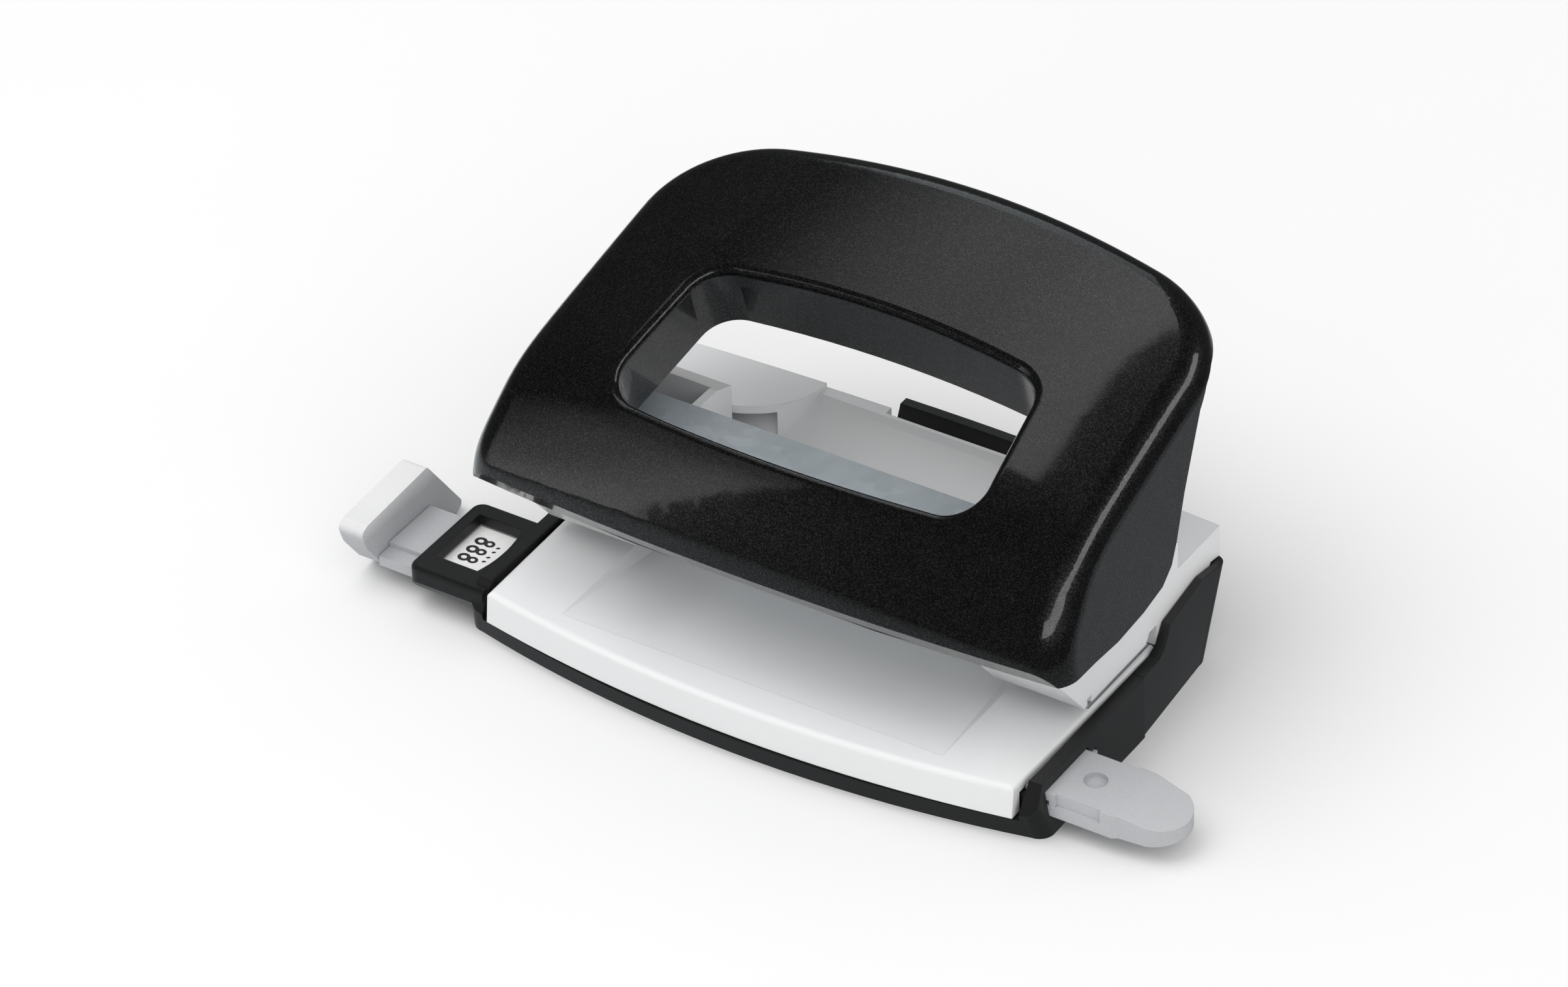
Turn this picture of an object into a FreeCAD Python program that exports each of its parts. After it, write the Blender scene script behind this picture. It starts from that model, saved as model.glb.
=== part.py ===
import FreeCAD, Part
import math
import os

# Two-hole desk punch. Millimetres. X to the right, Y to the back, Z up.
# Origin: on the table, in the plane of symmetry, in line with the front
# corners of the paper tray.

V = FreeCAD.Vector

# ---- driving dimensions -------------------------------------------------
HOLE_SPACING = 80.0          # centre to centre of the two punched holes
HOLE_MARGIN = 12.0           # paper edge to hole centre
PUNCH_R = 2.75               # radius of a punch pin
STOP_Y = 39.3                # where the paper's edge comes to rest
PUNCH_Y = STOP_Y - HOLE_MARGIN
PUNCH_X = HOLE_SPACING / 2.0

TRAY_Z = 9.0                 # top of the paper tray
TRAY_X = 46.9                # half width of the paper tray
TRAY_T = 1.4                 # tray thickness

BASE_X = 50.7                # half width of the base on the table
SCREW_Y = -0.4               # screws that hold the base to the paper tray
BASE_TOP_X = 49.2            # half width of the base at the ledge
LEDGE_Z = 9.0
SIDE_IN_X = 47.1             # inner face of the base's side walls
SEAM_Y0 = 29.5               # seam between base and chip tray, at the table
SEAM_Y1 = 31.7               # the same seam at ledge height
FLOOR_T = 1.5
HINGE_Y = 22.0               # hinge of the chip tray
HINGE_Z = 2.6

BAR_Y0 = 3.0                 # guide bar, front side
BAR_Y1 = 16.8                # guide bar, back side
TONGUE_Y1 = 15.0             # guide tongue, back side
BAR_Z0 = 3.4
BAR_Z1 = 6.0
TONGUE_Z1 = 7.4
STOP_FACE_X = 68.5           # guide stop to the middle: the 8-8-8 spacing
BAR_END_X = 56.0

PIVOT_Y = 11.0               # handle pivot
PIVOT_Z = 31.0
PIVOT_R = 2.0

SHELL_T = 1.2                # handle sheet
CREASE_X = 51.7              # half width of the handle at its front crease
SIDE_DRAFT = 0.16            # the walls lean in, mm per mm of height
SHOULDER_R = 5.5
CREASE_Z = 28.4
REAR_Y = 69.3                # back wall of the handle at the middle
REAR_Z = 52.9                # height that REAR_Y is given for
CORNER_R = 19.0              # rear corners of the handle, in plan
CORNER_TURN = 81.0           # how far round they go, in degrees

HOUSE_X0 = 31.4              # punch housing, inner side
HOUSE_Z0 = 11.3              # underside of the housing, top of the paper slot
BRACKET_X0 = 34.4
BRACKET_X1 = 45.6
CAP_Z = 19.3                 # top of the rear caps

# Middle section of the handle's skin: y, z
SKIN = [(0.75, 28.4), (1.3, 32.0), (3.0, 36.2), (6.4, 41.2), (11.6, 45.9),
        (17.0, 48.4), (24.0, 50.5), (36.0, 53.7), (50.0, 57.1), (62.0, 59.2),
        (74.0, 60.9)]


# ---- helpers ------------------------------------------------------------
def box(x0, x1, y0, y1, z0, z1):
    return Part.makeBox(x1 - x0, y1 - y0, z1 - z0, V(x0, y0, z0))


def rod(radius, start, end):
    """Solid cylinder between two points."""
    line = end.sub(start)
    return Part.makeCylinder(radius, line.Length, start, line)


def prism_x(points, x0, x1):
    """Polygon given as (y, z), extruded along X."""
    wire = Part.makePolygon([V(x0, y, z) for y, z in points + points[:1]])
    return Part.Face(wire).extrude(V(x1 - x0, 0, 0))


def prism_z(points, z0, z1):
    """Polygon given as (x, y), extruded upwards."""
    wire = Part.makePolygon([V(x, y, z0) for x, y in points + points[:1]])
    return Part.Face(wire).extrude(V(0, 0, z1 - z0))


def mirror(shape):
    return shape.mirror(V(0, 0, 0), V(1, 0, 0))


def both(shape):
    return shape.fuse(mirror(shape))


def arc(a, b, c):
    return Part.Arc(a, b, c).toShape()


def line(a, b):
    return Part.makeLine(a, b)


def round_edges(shape, radius, test):
    """Round every edge whose middle point passes the test."""
    chosen = []
    for edge in shape.Edges:
        mid = edge.valueAt((edge.FirstParameter + edge.LastParameter) / 2.0)
        if test(mid, edge):
            chosen.append(edge)
    if not chosen:
        return shape
    return shape.makeFillet(radius, chosen)


def along(edge, direction):
    """True when a straight edge runs along the direction."""
    a = edge.Vertexes[0].Point
    b = edge.Vertexes[-1].Point
    d = b.sub(a)
    if d.Length < 0.01:
        return False
    return abs(d.normalize().dot(direction)) > 0.99


def save(shape, name):
    shape = shape.removeSplitter()
    solids = shape.Solids
    print(name, len(solids), round(shape.Volume / 1000.0, 2), shape.isValid())
    if len(solids) == 1:
        solids[0].exportStep("parts/" + name + ".step")
    else:
        Part.makeCompound(solids).exportStep("parts/" + name + ".step")


# ---- handle -------------------------------------------------------------
def skin_section(x, inset, bottom):
    """Closed section of the handle across one plane x = const."""
    middle = Part.BSplineCurve()
    middle.interpolate([V(0, y, z) for y, z in SKIN])
    count = 15
    first = middle.FirstParameter
    span = middle.LastParameter - first
    pts = []
    for i in range(count):
        t = i / (count - 1.0)
        where = first + span * t
        point = middle.value(where)
        tangent = middle.tangent(where)[0]
        # the skin bows more across its top than across its front
        bow = 0.0019 - 0.0010 * math.exp(-(t / 0.12) ** 2)
        drop = bow * x * x + inset
        pts.append(V(x, point.y + tangent.z * drop, point.z - tangent.y * drop))
    curve = Part.BSplineCurve()
    curve.interpolate(pts)
    top = pts[-1]
    low = V(x, top.y, bottom)
    front = pts[0]
    foot = V(x, front.y + 0.58 * (front.z - bottom), bottom)
    edges = [curve.toShape(), line(top, low), line(low, foot)]
    edges.append(line(foot, front))
    return Part.Wire(edges)


def skin_block(inset):
    """Solid under the handle's crowned skin, before the sides are cut."""
    wires = [skin_section(x, inset, 22.0) for x in (-60, 0, 60)]
    return Part.makeLoft(wires, True, False)


def plan_wire(z, inset):
    """Plan of the handle's walls at one height: bowed back, round corners."""
    w = CREASE_X - inset - SIDE_DRAFT * (z - CREASE_Z)
    y_back = REAR_Y - inset - SIDE_DRAFT * (z - REAR_Z)
    r = CORNER_R - inset
    turn = math.radians(CORNER_TURN)
    x2 = w - r + r * math.cos(turn)
    bow = 1.0 / math.tan(turn) / (2.0 * x2)
    yc = y_back - bow * x2 * x2 - r * math.sin(turn)
    mid_x = w - r + r * math.cos(turn / 2.0)
    mid_y = yc + r * math.sin(turn / 2.0)
    y2 = yc + r * math.sin(turn)
    front = -10.0
    edges = [line(V(-w, front, z), V(w, front, z)), line(V(w, front, z), V(w, yc, z)),
             arc(V(w, yc, z), V(mid_x, mid_y, z), V(x2, y2, z)),
             arc(V(x2, y2, z), V(0, y_back, z), V(-x2, y2, z)),
             arc(V(-x2, y2, z), V(-mid_x, mid_y, z), V(-w, yc, z)),
             line(V(-w, yc, z), V(-w, front, z))]
    return Part.Wire(edges)


def walls(inset):
    """Everything inside the drafted walls of the handle."""
    return Part.makeLoft([plan_wire(15.0, inset), plan_wire(75.0, inset)], True, True)


def handle_form(inset, radius):
    """Rounded solid of the handle, moved in by inset."""
    body = skin_block(inset).common(walls(inset)).removeSplitter().Solids[0]
    chosen = []
    for edge in body.Edges:
        a = edge.valueAt(edge.FirstParameter)
        b = edge.valueAt(edge.LastParameter)
        mid = edge.valueAt((edge.FirstParameter + edge.LastParameter) / 2.0)
        on_skin = min(a.z, b.z) > 22.5 or (mid.z > 40 and edge.Length > 60)
        if on_skin and mid.z > 40:
            chosen.append(edge)
    return body.makeFillet(radius, chosen)


def window_prism(grow, depth0, depth1):
    """Rounded window outline, square to the sloping face of the handle."""
    tilt = math.atan2(53.7 - 46.2, 36.2 - 11.6)
    cz = math.cos(tilt)
    sz = math.sin(tilt)

    def place(x, s, d):
        y = 24.0 + s * cz - d * -sz
        z = 50.2 + s * sz - d * cz
        return V(x, y, z)

    s0 = (11.6 - 24.0) / cz - grow
    s1 = (36.2 - 24.0) / cz + grow
    wb = 31.8 + grow
    wt = 29.0 + grow
    mid0 = place(0, s0 - 2.25, depth0)
    mid1 = place(0, s1 + 1.95, depth0)
    p = [place(-wb, s0, depth0), place(wb, s0, depth0),
         place(wt, s1, depth0), place(-wt, s1, depth0)]
    edges = [arc(p[0], mid0, p[1]), line(p[1], p[2]),
             arc(p[2], mid1, p[3]), line(p[3], p[0])]
    axis = place(0, 0, depth1).sub(place(0, 0, depth0))
    solid = Part.Face(Part.Wire(edges)).extrude(axis)
    unit = V(axis)
    unit.normalize()
    return round_edges(solid, 6.0 + grow, lambda m, e: along(e, unit))


FLANGE = [(-8.0, 25.9), (2.3, 25.9), (12.7, 25.7), (19.0, 25.3), (26.4, 25.7),
          (32.1, 26.6), (35.2, 28.4), (37.4, 31.2), (41.2, 37.2), (45.0, 42.4),
          (48.4, 47.0), (51.2, 49.4), (54.6, 50.7), (58.6, 51.2), (80.0, 50.2)]


def handle_shell():
    outer = handle_form(0.0, SHOULDER_R)
    inner = handle_form(SHELL_T, SHOULDER_R - SHELL_T)
    wall = window_prism(SHELL_T, -12.0, 13.0).common(outer)
    shell = outer.cut(inner)
    under = FLANGE + [(80.0, 5.0), (-8.0, 5.0)]
    shell = shell.cut(prism_x(under, -60, 60))
    wall_cut = window_prism(0.0, -12.0, 30.0)
    shell = shell.fuse(wall).cut(wall_cut)
    shell = shell.cut(box(-33.5, 33.5, -5, 2.6, 20, 26.4))
    shell = max(shell.Solids, key=lambda s: s.Volume)
    try:
        shell = round_edges(shell, 1.3, rim_test)
    except Exception as error:
        print("rim left sharp", error)
    return shell


def rim_test(mid, edge):
    """Edges where the window wall meets the outer skin."""
    if abs(mid.x) > 33 or mid.y < 6 or mid.y > 41:
        return False
    skin = 50.5 + 0.275 * (mid.y - 24.0) - 0.0019 * mid.x * mid.x
    if mid.y < 17:
        skin -= 0.02 * (17.0 - mid.y) ** 2
    return abs(mid.z - skin) < 0.75


def press_plate():
    """Steel plate across the handle, with arms to the two pivots."""
    z0 = 29.3
    z1 = 30.8
    plate = box(-49.2, 49.2, 17.5, 30.7, z0, z1)
    plate = plate.fuse(box(-30.6, 30.6, 7.0, 17.6, z0, z1))
    for x in (36.4, 42.2):
        eye = rod(3.9, V(x, PIVOT_Y, PIVOT_Z), V(x + 1.4, PIVOT_Y, PIVOT_Z))
        arm = [(PIVOT_Y, PIVOT_Z - 3.9), (18.0, z0), (28.5, z0),
               (28.5, z1 + 1.0), (PIVOT_Y, PIVOT_Z + 3.9)]
        plate = plate.fuse(both(eye.fuse(prism_x(arm, x, x + 1.4))))
    bore = rod(PIVOT_R + 0.06, V(33, PIVOT_Y, PIVOT_Z), V(50, PIVOT_Y, PIVOT_Z))
    return plate.cut(both(bore))


def pivot_pin():
    pin = rod(PIVOT_R, V(BRACKET_X0 - 0.7, PIVOT_Y, PIVOT_Z),
              V(BRACKET_X1 + 0.1, PIVOT_Y, PIVOT_Z))
    head = rod(3.0, V(BRACKET_X0 - 0.9, PIVOT_Y, PIVOT_Z),
               V(BRACKET_X0 - 0.05, PIVOT_Y, PIVOT_Z))
    return pin.fuse(head)


# ---- punching unit ------------------------------------------------------
def bracket():
    """Steel C-bracket: ears, upper leg, web and die."""
    t = 1.4
    side = [(20.5, 12.5), (9.0, 26.5), (6.6, PIVOT_Z), (15.4, PIVOT_Z),
            (19.0, 22.0), (36.0, 18.0), (42.0, 14.0), (42.0, 12.5)]
    ear = prism_x(side, BRACKET_X0, BRACKET_X0 + t)
    ear = ear.fuse(rod(4.4, V(BRACKET_X0, PIVOT_Y, PIVOT_Z),
                       V(BRACKET_X0 + t, PIVOT_Y, PIVOT_Z)))
    far = ear.copy()
    far.translate(V(BRACKET_X1 - BRACKET_X0 - t, 0, 0))
    leg = box(BRACKET_X0, BRACKET_X1, 20.5, 42.0, 12.5, 13.9)
    web = box(BRACKET_X0, BRACKET_X1, 40.6, 42.0, 7.4, 13.9)
    die = box(BRACKET_X0, BRACKET_X1, 21.5, 48.5, 7.4, TRAY_Z)
    unit = ear.fuse([far, leg, web, die])
    unit = unit.cut(rod(PUNCH_R + 0.1, V(PUNCH_X, PUNCH_Y, 5), V(PUNCH_X, PUNCH_Y, 20)))
    unit = unit.cut(rod(PIVOT_R + 0.02, V(30, PIVOT_Y, PIVOT_Z), V(50, PIVOT_Y, PIVOT_Z)))
    unit = unit.cut(rod(1.6, V(PUNCH_X, 45.6, 5), V(PUNCH_X, 45.6, 10)))
    return unit


def guide_sleeve():
    body = rod(4.2, V(PUNCH_X, PUNCH_Y, 13.9), V(PUNCH_X, PUNCH_Y, 19.0))
    bore = rod(PUNCH_R + 0.05, V(PUNCH_X, PUNCH_Y, 13), V(PUNCH_X, PUNCH_Y, 20))
    sleeve = body.cut(bore)
    return round_edges(sleeve, 0.4, lambda m, e: m.z > 18.9 and e.Length > 20)


def punch_pin():
    """Punch pin with a hollow-ground tip and a domed head."""
    tip = 11.6
    top = 29.2
    shaft = rod(PUNCH_R, V(PUNCH_X, PUNCH_Y, tip), V(PUNCH_X, PUNCH_Y, 27.5))
    disc = rod(4.0, V(PUNCH_X, PUNCH_Y, 27.4), V(PUNCH_X, PUNCH_Y, 30.0))
    radius = 7.8
    dome = Part.makeSphere(radius, V(PUNCH_X, PUNCH_Y, top - radius))
    grind = Part.makeCylinder(4.0, 12.0, V(PUNCH_X, PUNCH_Y - 6.0, tip - 3.4), V(0, 1, 0))
    return shaft.fuse(disc.common(dome)).cut(grind)


def spring():
    """Return spring between the sleeve and the punch head."""
    z0 = 19.45
    z1 = 26.95
    turns = 4.5
    mean = 3.35
    helix = Part.makeHelix((z1 - z0) / turns, z1 - z0, mean)
    helix.translate(V(PUNCH_X, PUNCH_Y, z0))
    start = helix.Edges[0].Vertexes[0].Point
    circle = Part.makeCircle(0.4, start, V(0, 1, 0.09))
    return Part.Wire([helix.Edges[0]]).makePipeShell([Part.Wire([circle])], True, True)


# ---- paper tray ---------------------------------------------------------
def bowed_outline(half, wide, front_mid, bow, back, z):
    """Closed outline with a bowed front, as a wire at one height."""
    corner = front_mid + bow * half * half
    a = V(-half, corner, z)
    b = V(0, front_mid, z)
    c = V(half, corner, z)
    return Part.Wire([arc(a, b, c), line(c, V(wide, back, z)),
                      line(V(wide, back, z), V(-wide, back, z)),
                      line(V(-wide, back, z), a)])


def paper_tray():
    back = STOP_Y - 0.1
    top = bowed_outline(46.0, TRAY_X, -4.6, 0.0021, back, TRAY_Z)
    low = bowed_outline(46.0, TRAY_X, -5.2, 0.0021, back, 3.7)
    outer = Part.makeLoft([low, top], True, True)
    outer = round_edges(outer, 0.9, lambda m, e: m.z > 8.9 and m.y < back - 1)
    top_in = bowed_outline(44.7, 45.6, -3.2, 0.0021, back + 5, TRAY_Z - TRAY_T)
    low_in = bowed_outline(44.7, 45.6, -3.8, 0.0021, back + 5, 3.6)
    tray = outer.cut(Part.makeLoft([low_in, top_in], True, True))
    tray = tray.fuse(box(-45.6, 45.6, back - 1.0, 50.0, TRAY_Z - TRAY_T, TRAY_Z))
    # shallow dish between the two flats, deeper towards the back
    deep0 = 0.05
    deep1 = 2.2
    y0 = 1.0
    y1 = STOP_Y
    wires = []
    for y, deep in ((y0, deep0), (y1, deep1)):
        wide = 33.3
        low_x = wide - 1.7 * deep
        wires.append(Part.makePolygon([V(-wide - 1.7, y, TRAY_Z + 1.0),
                                       V(-low_x, y, TRAY_Z - deep),
                                       V(low_x, y, TRAY_Z - deep),
                                       V(wide + 1.7, y, TRAY_Z + 1.0),
                                       V(-wide - 1.7, y, TRAY_Z + 1.0)]))
    dish = Part.makeLoft(wires, True, True)
    pan = prism_x([(16.2, 7.3), (STOP_Y + 1.2, 5.95), (STOP_Y + 1.2, 7.7), (16.2, 7.7)],
                  -34.1, 34.1)
    tray = tray.fuse(pan).cut(dish)
    # dies, bar passage, screws
    tray = tray.cut(both(box(34.2, 45.8, 21.3, 60, 5, 10)))
    tray = tray.cut(box(-60, 60, 2.7, BAR_Y1 + 0.3, 3, 7.55))
    tray = tray.cut(box(-60, 60, 1.35, BAR_Y1 + 1.65, 3, 7.2))
    tray = tray.cut(both(box(44.5, 60, 16.0, 60, 3, 7.6)))
    for x in (-24.0, 24.0):
        post = rod(1.75, V(x, SCREW_Y, 2.35), V(x, SCREW_Y, TRAY_Z - 0.6))
        tray = tray.fuse(post).cut(rod(1.05, V(x, SCREW_Y, 1), V(x, SCREW_Y, 7.6)))
    for x in (-16.0, 16.0):
        tray = tray.cut(rod(1.6, V(x, 45.6, 5), V(x, 45.6, 10)))
    return tray


# ---- white body frame ---------------------------------------------------
def housing():
    """One punch housing: an open-topped cover around the bracket."""
    x1 = TRAY_X
    outline = [(5.6, 26.8), (18.3, HOUSE_Z0), (36.2, HOUSE_Z0), (37.2, 12.9),
               (STOP_Y + 0.1, 12.9), (45.5, 12.9), (45.5, 24.2), (41.5, 25.6),
               (33.5, 25.6), (32.0, 23.6), (20.0, 24.0), (17.0, 26.8)]
    outer = prism_x(outline, HOUSE_X0, x1)
    cavity = [(7.4, 27.2), (20.0, 12.45), (42.2, 12.45), (42.2, 40), (7.4, 40)]
    inner = prism_x(cavity, HOUSE_X0 + 1.4, x1 - 1.15)
    cover = outer.cut(inner)
    # the inner side of each housing leans outwards towards the front
    lean = prism_z([(HOUSE_X0 - 3, 0), (HOUSE_X0 - 3, 16), (HOUSE_X0, 16)], 0, 40)
    cover = cover.cut(lean)
    cover = cover.cut(rod(3.2, V(PUNCH_X, PUNCH_Y, 5), V(PUNCH_X, PUNCH_Y, 15)))
    cover = cover.cut(box(x1 - 1.3, x1 + 1, 19.2, 20.4, 11, 12.6))
    return cover


def cap():
    """Rear cap: a thin plate on walls, with an S-shaped outer crease."""
    t = 1.4
    pts = [V(23.0, 59.8, CAP_Z), V(24.5, 53.0, CAP_Z), V(29.5, 48.2, CAP_Z),
           V(37.5, 45.7, CAP_Z), V(TRAY_X, 45.0, CAP_Z)]
    curve = Part.BSplineCurve()
    curve.interpolate(pts)
    edges = [curve.toShape(), line(pts[-1], V(TRAY_X, 59.8, CAP_Z)),
             line(V(TRAY_X, 59.8, CAP_Z), pts[0])]
    plate = Part.Face(Part.Wire(edges)).extrude(V(0, 0, -t))
    skirt = Part.Face(Part.Wire(edges)).extrude(V(0, 0, -(CAP_Z - 12.0)))
    small = skirt.copy()
    small = small.cut(box(20, TRAY_X - 1.3, 40, 56.3, 10, 30).cut(
        box(20, 26.5, 40, 60, 10, 30)))
    return plate.fuse(small)


def body_frame():
    x1 = TRAY_X
    section = [(STOP_Y, TRAY_Z + 0.1), (STOP_Y, 12.9), (50.8, 12.9), (56.0, 17.9),
               (57.2, 18.6), (60.5, 18.6), (60.5, 13.9), (58.0, 13.9),
               (55.0, 11.4), (40.5, 11.4), (40.5, TRAY_Z + 0.1)]
    mid = prism_x(section, -x1, x1)
    frame = mid.fuse(both(housing())).fuse(both(cap()))
    wall = [(45.0, 11.4), (54.8, 11.4), (58.0, 13.9), (60.0, 13.9), (60.0, CAP_Z),
            (45.0, CAP_Z)]
    frame = frame.fuse(both(prism_x(wall, x1 - 1.3, x1)))
    # bowed back
    a = V(-x1 - 0.5, 57.9, 0)
    b = V(0, 59.6, 0)
    c = V(x1 + 0.5, 57.9, 0)
    plan = Part.Face(Part.Wire([arc(a, b, c), line(c, V(x1 + 0.5, 0, 0)),
                                line(V(x1 + 0.5, 0, 0), V(-x1 - 0.5, 0, 0)),
                                line(V(-x1 - 0.5, 0, 0), a)]))
    frame = frame.common(plan.extrude(V(0, 0, 45)))
    # steel bracket passes through the stop wall and floor
    frame = frame.cut(both(box(BRACKET_X0 - 0.15, BRACKET_X1 + 0.1, 40.45, 42.2, 5, 14.1)))
    frame = frame.cut(both(box(BRACKET_X0 - 0.15, BRACKET_X1 + 0.1, 20.0, 42.2, 12.45, 13.2)))
    # notch for the finger tab of the chip tray
    frame = frame.cut(box(-11.5, 11.5, 57.9, 62, 16.4, 30))
    # screw bosses
    for x in (-PUNCH_X, -16.0, 16.0, PUNCH_X):
        boss = rod(2.6, V(x, 45.6, TRAY_Z + 0.02), V(x, 45.6, 12.0))
        frame = frame.fuse(boss)
    for x in (-PUNCH_X, -16.0, 16.0, PUNCH_X):
        frame = frame.cut(rod(1.05, V(x, 45.6, 5), V(x, 45.6, 12.3)))
    frame = frame.cut(chip_tray_room())
    return max(frame.removeSplitter().Solids, key=lambda s: s.Volume)


# ---- black base ---------------------------------------------------------
def base_outline(half, front_mid, back, z):
    bow = 0.00235
    r = 2.5
    e = half - 2.4
    ye = front_mid + bow * e * e
    a = V(-half, back, z)
    b = V(-half, ye + r, z)
    b2 = V(-half + 0.72, ye + 0.75, z)
    c = V(-e, ye, z)
    d = V(0, front_mid, z)
    f = V(e, ye, z)
    f2 = V(half - 0.72, ye + 0.75, z)
    g = V(half, ye + r, z)
    h = V(half, back, z)
    return Part.Wire([line(a, b), arc(b, b2, c), arc(c, d, f), arc(f, f2, g),
                      line(g, h), line(h, a)])


def base_front():
    outer = Part.makeLoft([base_outline(BASE_X, -4.6, 36.0, 0.0),
                           base_outline(BASE_TOP_X, -7.0, 36.0, LEDGE_Z)], True, True)
    cut_front = [(-12.0, 3.5), (-1.4, 3.5), (2.8, 9.5), (-12.0, 9.5)]
    outer = outer.cut(prism_x(cut_front, -60, 60))
    low = Part.Face(base_outline(SIDE_IN_X, -2.9, 60.0, FLOOR_T)).extrude(V(0, 0, 20))
    high = Part.Face(base_outline(SIDE_IN_X, -3.9, 60.0, 2.3)).extrude(V(0, 0, 20))
    base = outer.cut(low).cut(high).cut(box(-47.0, 47.0, -15, 8, 3.5, 20))
    base = base.cut(box(-46.8, 46.8, 18.6, 60, -1, 20))
    base = base.cut(prism_x([(SEAM_Y0, -0.01), (SEAM_Y1, 9.01), (70, 9.01), (70, -0.01)],
                            -60, 60))
    # rails of the guide bar
    for y in (BAR_Y0 - 1.35, BAR_Y1 + 0.15):
        base = base.fuse(box(-SIDE_IN_X, SIDE_IN_X, y, y + 1.2, 1.0, 6.9))
    for x in (-38.0, -12.0, 12.0, 38.0):
        base = base.fuse(box(x - 0.7, x + 0.7, BAR_Y0 - 0.3, BAR_Y1 + 0.3, 1.0, BAR_Z0 - 0.1))
    # window housing for the format scale
    side = [(0.2, 8.0), (0.2, 5.4), (2.6, 2.6), (19.6, 2.6), (19.6, 8.0)]
    house = prism_x(side, -61.2, -47.3)
    house = round_edges(house, 2.0, lambda m, e: m.x < -61 and along(e, V(0, 0, 1)))
    house = round_edges(house, 0.8, lambda m, e: m.z > 7.9 and m.x < -48)
    base = base.fuse(house)
    base = base.cut(box(-70, 60, BAR_Y0 - 0.15, BAR_Y1 + 0.15, BAR_Z0 - 0.1, BAR_Z1 + 0.35))
    base = base.cut(box(45, 60, BAR_Y0 - 0.15, TONGUE_Y1 + 0.15, BAR_Z0 - 0.1, TONGUE_Z1 + 0.15))
    wedge = Part.makeLoft([window_wire(0.0, BAR_Z1), window_wire(0.3, 8.2)], True, True)
    base = base.cut(wedge)
    # screw holes into the posts of the paper tray
    for x in (-24.0, 24.0):
        base = base.cut(rod(1.35, V(x, SCREW_Y, -1), V(x, SCREW_Y, 3)))
        base = base.cut(rod(2.4, V(x, SCREW_Y, -1), V(x, SCREW_Y, 0.7)))
    # bearings of the chip tray
    base = base.cut(rod(1.56, V(-49.0, HINGE_Y, HINGE_Z), V(49.0, HINGE_Y, HINGE_Z)))
    return max(base.removeSplitter().Solids, key=lambda s: s.Volume)


def window_wire(grow, z):
    x0 = -58.6 - grow
    x1 = -51.3 + grow
    y0 = 4.7 - grow
    y1 = 16.3 + grow * 0.7
    a = V(x0, y0, z)
    b = V(x1, y0, z)
    c = V(x1, y1, z)
    d = V(x0, y1, z)
    return Part.Wire([line(a, b), arc(b, V(x1 + 0.9, (y0 + y1) / 2, z), c),
                      line(c, d), line(d, a)])


def tray_wire(z, inset, y0):
    """Plan of the rear base part at height z; its back leans outwards."""
    if inset > 0:
        half = SIDE_IN_X
        half_r = SIDE_IN_X
    else:
        half = BASE_X - 0.1667 * z
        half_r = 49.0 - 0.05 * z
    yc = 51.6 + 0.51 * z - inset
    ym = 54.6 + 0.46 * z - inset
    a = V(-half, y0, z)
    b = V(-half_r, yc - 3.0, z)
    b2 = V(-half_r + 0.8, yc - 0.7, z)
    c = V(-half_r + 3.0, yc, z)
    d = V(0, ym, z)
    e = V(half_r - 3.0, yc, z)
    e2 = V(half_r - 0.8, yc - 0.7, z)
    f = V(half_r, yc - 3.0, z)
    g = V(half, y0, z)
    return Part.Wire([line(a, b), arc(b, b2, c), arc(c, d, e), arc(e, e2, f),
                      line(f, g), line(g, a)])


def chip_tray_room():
    """Space the walls of the chip tray need inside the body frame."""
    top = 19.5
    outer = Part.makeLoft([tray_wire(0.0, 0.0, 25.0), tray_wire(top, 0.0, 25.0)], True, True)
    inner = Part.makeLoft([tray_wire(FLOOR_T, 2.0, 10.0), tray_wire(top + 1, 2.0, 10.0)],
                          True, True)
    under = [(20.0, -1.0), (20.0, LEDGE_Z + 0.3), (36.5, LEDGE_Z + 0.3), (38.3, 10.2),
             (39.5, 11.7), (40.3, 13.1), (50.5, 14.9), (58.6, 13.65), (75.0, 13.65),
             (75.0, -1.0)]
    ring = outer.cut(inner)
    tab = ring.common(box(-11.5, 11.5, 50, 75, 5, 25))
    return ring.common(prism_x(under, -60, 60)).fuse(tab)


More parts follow.
